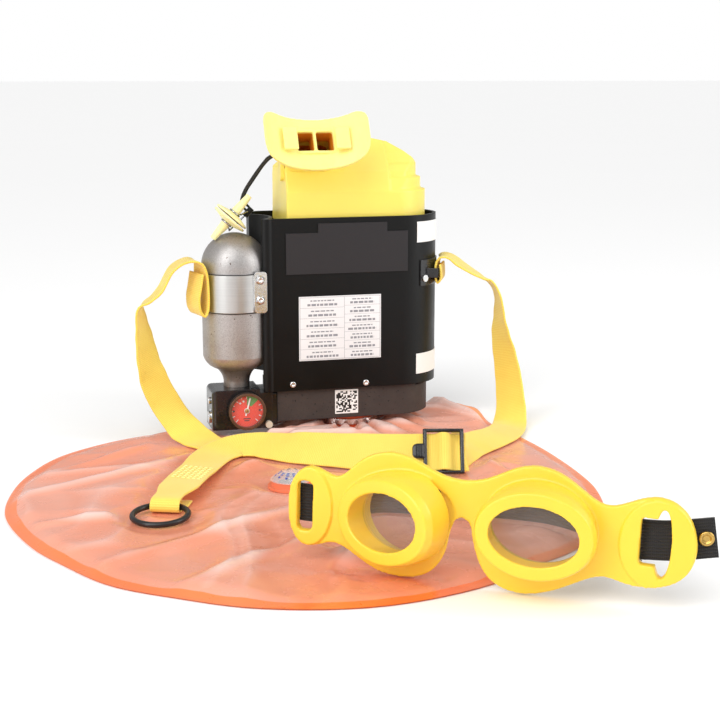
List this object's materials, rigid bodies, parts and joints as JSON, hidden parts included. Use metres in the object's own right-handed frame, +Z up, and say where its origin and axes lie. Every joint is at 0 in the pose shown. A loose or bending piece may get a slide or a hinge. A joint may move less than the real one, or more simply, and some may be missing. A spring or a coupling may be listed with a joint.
{
  "type": "escape breathing set",
  "caption": "Closed-circuit escape breathing set with canister, oxygen bottle, mouthpiece, nose clip, straps, flat breathing bag and goggles.",
  "frame": {"origin": "on the floor, on the underside of the breathing bag, under the middle of the canister unit's front half", "axes": "+X to the right of the unit's front, +Y to its back, +Z up"},
  "size_m": [0.3772, 0.4604, 0.2333],
  "materials": {
    "black_shell": "satin",
    "base_plastic": "matt",
    "inner_metal": "plain",
    "pad": "matt",
    "absorbent": "granular",
    "boot_rubber": "satin",
    "mouth_rubber": "satin",
    "bottle_metal": "bead blasted",
    "band_metal": "brushed",
    "bright_metal": "polished",
    "block_metal": "satin",
    "beige_plastic": "matt",
    "brass": "polished",
    "spring_steel": "plain",
    "diaphragm_rubber": "matt",
    "dial_red": "matt",
    "needle_white": "matt",
    "clear_lens": "clear",
    "label_dark": "matt",
    "label_white": "satin",
    "webbing": "woven",
    "ring_black": "satin",
    "buckle_black": "gloss",
    "bag_film": "translucent",
    "collar_orange": "satin",
    "valve_clear": "clear",
    "clip_rubber": "matt",
    "cord_black": "matt",
    "goggle_rubber": "satin",
    "goggle_lens": "clear",
    "elastic": "ribbed"
  },
  "bodies": {
    "unit": {"canister_shroud": "black_shell", "canister_base": "base_plastic", "absorbent_can": "inner_metal", "can_screens": "inner_metal", "filter_pads": "pad", "absorbent_bed": "absorbent", "can_lid": "inner_metal", "boot": "boot_rubber", "mouth_throat": "boot_rubber", "oxygen_bottle": "bottle_metal", "bottle_band": "band_metal", "band_clamp": "bright_metal", "band_bolts": "bright_metal", "valve_block": "block_metal", "block_flange": "block_metal", "oxygen_outlet": "inner_metal", "bleed_plug": "beige_plastic", "side_plugs": "bright_metal", "reducer_spring": "spring_steel", "demand_diaphragm": "diaphragm_rubber", "diaphragm_cover": "block_metal", "gauge_case": "brass", "gauge_dial": "dial_red", "gauge_lens": "clear_lens", "gauge_bezel": "brass", "name_plate": "label_dark", "white_label": "label_white", "square_label": "label_white", "side_labels": "label_white", "shroud_screws": "bright_metal", "strap_bracket": "block_metal", "bracket_rivet": "bright_metal", "strap_left": "webbing", "strap_right": "webbing", "bag_lower_film": "bag_film", "bag_upper_film": "bag_film", "bag_port_collar": "collar_orange", "bag_clamp_ring": "band_metal", "relief_body": "collar_orange", "relief_spring": "spring_steel", "relief_cap": "valve_clear", "tether_eyelet": "boot_rubber"},
    "mouthpiece": {"mouthpiece": "mouth_rubber"},
    "gauge_needle": {"gauge_needle": "needle_white"},
    "relief_disc": {"relief_disc": "valve_clear"},
    "reducer_piston": {"reducer_piston": "brass"},
    "demand_lever": {"demand_lever": "spring_steel"},
    "pull_ring": {"pull_ring": "ring_black"},
    "slider_buckle": {"slider_buckle": "buckle_black"},
    "nose_clip": {"clip_pad_lower": "clip_rubber", "clip_sleeve": "cord_black", "clip_spring": "spring_steel", "tether_front": "cord_black", "tether_back": "cord_black"},
    "clip_upper": {"clip_pad_upper": "clip_rubber"},
    "goggles": {"goggle_frame": "goggle_rubber", "goggle_lenses": "goggle_lens", "goggle_strap": "elastic", "goggle_snap": "brass"}
  },
  "joints": [
    {"name": "mouthpiece_tilt", "type": "hinge", "parent": "unit", "child": "mouthpiece", "pos_m": [-0.0133, -0.016, 0.199], "axis": [1, 0, 0], "range_deg": [-6, 10], "stiffness_Nm_per_rad": 0.6, "deforming": ["mouth_throat"]},
    {"name": "gauge_needle_turn", "type": "hinge", "parent": "unit", "child": "gauge_needle", "pos_m": [-0.0627, -0.033, 0.022], "axis": [0, 1, 0], "range_deg": [-150, 30]},
    {"name": "relief_disc_lift", "type": "slide", "parent": "unit", "child": "relief_disc", "axis": [0, 0, 1], "range_m": [0, 0.002], "stiffness_N_per_m": 60, "springref_m": -0.001, "deforming": ["relief_spring"]},
    {"name": "reducer_piston_slide", "type": "slide", "parent": "unit", "child": "reducer_piston", "axis": [1, 0, 0], "range_m": [0, 0.0015], "stiffness_N_per_m": 800, "springref_m": -0.0005, "deforming": ["reducer_spring"]},
    {"name": "demand_lever_swing", "type": "hinge", "parent": "unit", "child": "demand_lever", "pos_m": [-0.074, -0.0055, 0.022], "axis": [0, 0, -1], "range_deg": [0, 6], "stiffness_Nm_per_rad": 0.004, "springref_deg": -2.86},
    {"name": "pull_ring_swing", "type": "hinge", "parent": "unit", "child": "pull_ring", "pos_m": [-0.13899, -0.1919, 0.0063], "axis": [-0.9292, 0.3697, 0], "range_deg": [0, 33]},
    {"name": "buckle_tilt", "type": "hinge", "parent": "unit", "child": "slider_buckle", "pos_m": [0.045, -0.1564, 0.0172], "axis": [0.121, 0.4851, 0.866], "range_deg": [0, 7]},
    {"name": "nose_clip_swing", "type": "hinge", "parent": "unit", "child": "nose_clip", "pos_m": [-0.0344, -0.015, 0.202], "axis": [0, 1, 0], "range_deg": [0, 50]},
    {"name": "nose_clip_open", "type": "hinge", "parent": "nose_clip", "child": "clip_upper", "pos_m": [-0.054, -0.00075, 0.161], "axis": [-0.6321, 0.5259, 0.5691], "range_deg": [0, 16], "stiffness_Nm_per_rad": 0.02, "springref_deg": -11.46, "deforming": ["clip_spring"]},
    {"name": "goggles_lift_off", "type": "slide", "parent": "unit", "child": "goggles", "axis": [0, 0, 1], "range_m": [0, 0.12]}
  ]
}
